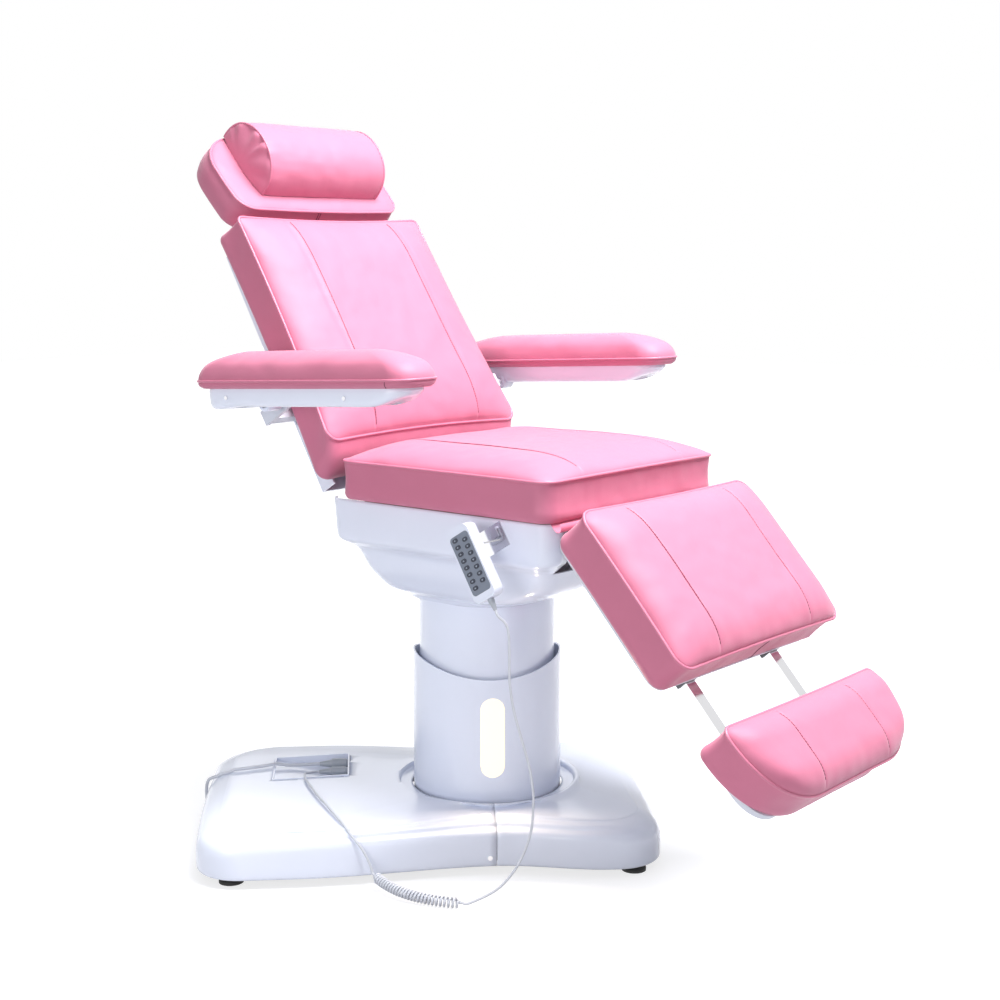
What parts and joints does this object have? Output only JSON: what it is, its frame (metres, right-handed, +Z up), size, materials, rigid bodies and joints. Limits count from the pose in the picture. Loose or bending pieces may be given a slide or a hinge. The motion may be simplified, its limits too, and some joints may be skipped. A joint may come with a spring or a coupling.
{
  "type": "facial treatment bed",
  "caption": "Electric facial treatment bed: padded reclining chair with headrest, pillow, folding armrests and sliding foot rest, swivelling on a lighted lift column and a broad moulded base.",
  "frame": {"origin": "on the floor under the middle of the object's bounding box, measured without the cords", "axes": "+Z up, +X from the column towards the foot end, +Y to the sitter's left"},
  "size_m": [1.5683, 1.0609, 1.5253],
  "materials": {
    "upholstery": "satin synthetic leather",
    "white_plastic": "gloss",
    "chrome": "polished",
    "foot_rubber": "matte",
    "black_plastic": "matte",
    "key_rubber": "matte",
    "overlay_film": "satin",
    "light_diffuser": "lit warm white",
    "light_board": "matte",
    "seat_panel": "plywood",
    "glide_plastic": "matte",
    "grey_plastic": "satin",
    "painted_steel": "powder coated"
  },
  "bodies": {
    "base": {"base_frame": "painted_steel", "levelling_feet": "foot_rubber", "base_cover_head": "white_plastic", "base_cover_foot": "white_plastic", "cover_screws": "chrome", "socket_panel": "grey_plastic", "handset_plug": "grey_plastic", "mains_connector": "grey_plastic", "control_box": "black_plastic", "column_cover_lower": "white_plastic", "led_diffuser": "light_diffuser", "led_board": "light_board", "lift_outer_tube": "painted_steel", "glide_pads": "glide_plastic", "lift_actuator": "black_plastic", "handset_cord_lower": "grey_plastic", "handset_cord_curl": "grey_plastic", "handset_cord_tail": "grey_plastic", "mains_lead": "grey_plastic", "mains_coil": "grey_plastic", "mains_plug": "grey_plastic"},
    "carriage": {"lift_inner_tube": "painted_steel", "lift_rod": "chrome", "column_cover_upper": "white_plastic", "swivel_bearing": "painted_steel", "kingpin_nut": "chrome"},
    "chair": {"seat_frame": "painted_steel", "hinge_pins": "chrome", "casing_right": "white_plastic", "casing_left": "white_plastic", "seat_board": "seat_panel", "seat_cushion": "upholstery", "back_actuator": "black_plastic", "leg_actuator": "black_plastic", "handset_hook": "chrome", "handset_shell": "white_plastic", "handset_overlay": "overlay_film", "handset_strain_relief": "grey_plastic", "handset_cord_upper": "grey_plastic"},
    "keypad": {"handset_keys": "key_rubber"},
    "back": {"back_frame": "painted_steel", "back_panel": "white_plastic", "back_cushion": "upholstery", "armrest_brackets": "painted_steel"},
    "back_rod": {"back_rod": "chrome"},
    "leg_rod": {"leg_rod": "chrome"},
    "headrest": {"headrest_bracket": "chrome", "headrest_cushion": "upholstery", "head_pillow": "upholstery"},
    "armrest_right": {"armrest_tray_right": "white_plastic", "armrest_cushion_right": "upholstery"},
    "armrest_left": {"armrest_tray_left": "white_plastic", "armrest_cushion_left": "upholstery"},
    "leg": {"leg_frame": "painted_steel", "leg_board": "white_plastic", "leg_cushion": "upholstery"},
    "foot": {"foot_bars": "chrome", "foot_board": "white_plastic", "foot_cushion": "upholstery"}
  },
  "joints": [
    {"name": "lift", "type": "slide", "parent": "base", "child": "carriage", "axis": [0, 0, 1], "range_m": [-0.1, 0.1], "deforming": ["handset_cord_lower"]},
    {"name": "swivel", "type": "hinge", "parent": "carriage", "child": "chair", "pos_m": [-0.106, 0.07, 0.57], "axis": [0, 0, 1], "range_deg": [-46, 134], "deforming": ["handset_cord_upper"]},
    {"name": "back_recline", "type": "hinge", "parent": "chair", "child": "back", "pos_m": [-0.276, 0.07, 0.74], "axis": [0, 1, 0], "range_deg": [-57, 4]},
    {"name": "leg_lift", "type": "hinge", "parent": "chair", "child": "leg", "pos_m": [0.265, 0.07, 0.728], "axis": [0, 1, 0], "range_deg": [-48, 22]},
    {"name": "foot_extend", "type": "slide", "parent": "leg", "child": "foot", "axis": [0.6691, 0, -0.7431], "range_m": [-0.085, 0.09]},
    {"name": "headrest_height", "type": "slide", "parent": "back", "child": "headrest", "axis": [-0.5373, 0, 0.8434], "range_m": [0, 0.08]},
    {"name": "armrest_right_fold", "type": "hinge", "parent": "back", "child": "armrest_right", "pos_m": [-0.36338, -0.294, 0.94044], "axis": [0, -1, 0], "range_deg": [-50, 90]},
    {"name": "armrest_left_fold", "type": "hinge", "parent": "back", "child": "armrest_left", "pos_m": [-0.36338, 0.434, 0.94044], "axis": [0, -1, 0], "range_deg": [-50, 90]},
    {"name": "back_rod_slide", "type": "slide", "parent": "chair", "child": "back_rod", "axis": [1, 0, 0], "range_m": [-0.0036, 0.043]},
    {"name": "leg_rod_slide", "type": "slide", "parent": "chair", "child": "leg_rod", "axis": [1, 0, 0], "range_m": [-0.0164, 0.034]},
    {"name": "keypad_press", "type": "slide", "parent": "chair", "child": "keypad", "axis": [0, 1, 0], "range_m": [0, 0.0007], "stiffness_N_per_m": 1500, "springref_m": -0.0004}
  ],
  "couplings": [
    {"joint": "back_rod_slide", "follows": "back_recline", "m_per_rad": -0.0425},
    {"joint": "leg_rod_slide", "follows": "leg_lift", "m_per_rad": -0.0397}
  ]
}
